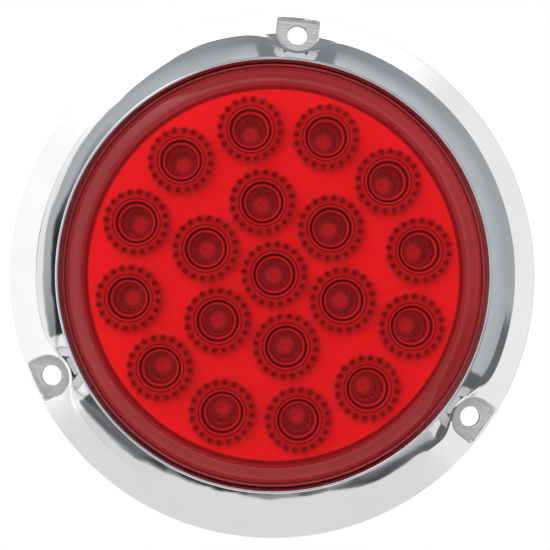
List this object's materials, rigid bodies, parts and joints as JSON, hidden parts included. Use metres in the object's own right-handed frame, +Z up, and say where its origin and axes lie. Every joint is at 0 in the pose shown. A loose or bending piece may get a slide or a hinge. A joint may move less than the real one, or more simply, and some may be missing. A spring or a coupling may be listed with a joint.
{
  "type": "trailer tail light",
  "caption": "Round red LED stop, turn and tail lamp that pulls out of a chrome surface-mount flange with three recessed screw holes and a rear plug socket.",
  "frame": {"origin": "centre of the three-screw circle on the mounting plane, where the gasket meets the panel", "axes": "+Z up with one screw hole at the top, the lens faces -Y, +Y runs back into the vehicle"},
  "size_m": [0.1396, 0.0435, 0.1396],
  "materials": {
    "chrome_plate": "polished chrome plate",
    "foam_rubber": "closed-cell foam, matt",
    "black_rubber": "moulded rubber, satin",
    "red_lens": "clear red polycarbonate, gloss",
    "reflector": "white reflector, satin gloss",
    "optic_red": "clear moulded optic, gloss",
    "led_resin": "LED resin, gloss",
    "board_laminate": "white solder mask",
    "zinc_steel": "zinc-plated steel",
    "ceramic_black": "moulded component body",
    "can_aluminium": "drawn can, satin",
    "solder": "solder, satin",
    "brass_pin": "turned brass, satin",
    "epoxy": "potting epoxy",
    "vent_white": "porous breather plug",
    "black_housing": "moulded ABS, fine texture"
  },
  "bodies": {
    "flange": {"chrome_flange": "chrome_plate", "flange_gasket": "foam_rubber", "seat_ring": "black_rubber"},
    "lamp": {"lens": "red_lens", "lens_seal_ring": "black_rubber", "reflector_plate": "reflector", "optics_outer": "optic_red", "optics_inner": "optic_red", "optic_centre": "optic_red", "leds_outer": "led_resin", "leds_inner": "led_resin", "led_centre": "led_resin", "led_board": "board_laminate", "board_screws": "zinc_steel", "led_resistors": "ceramic_black", "blocking_diodes": "ceramic_black", "surge_suppressor": "ceramic_black", "smoothing_capacitor": "can_aluminium", "current_regulators": "ceramic_black", "solder_joints": "solder", "terminal_ground": "brass_pin", "terminal_tail": "brass_pin", "terminal_stop_turn": "brass_pin", "terminal_seal": "epoxy", "vent_plug": "vent_white", "housing_o_ring": "black_rubber", "rear_housing": "black_housing"}
  },
  "joints": [
    {"name": "lamp_pull_out", "type": "slide", "parent": "flange", "child": "lamp", "axis": [0, -1, 0], "range_m": [0, 0.05]}
  ]
}
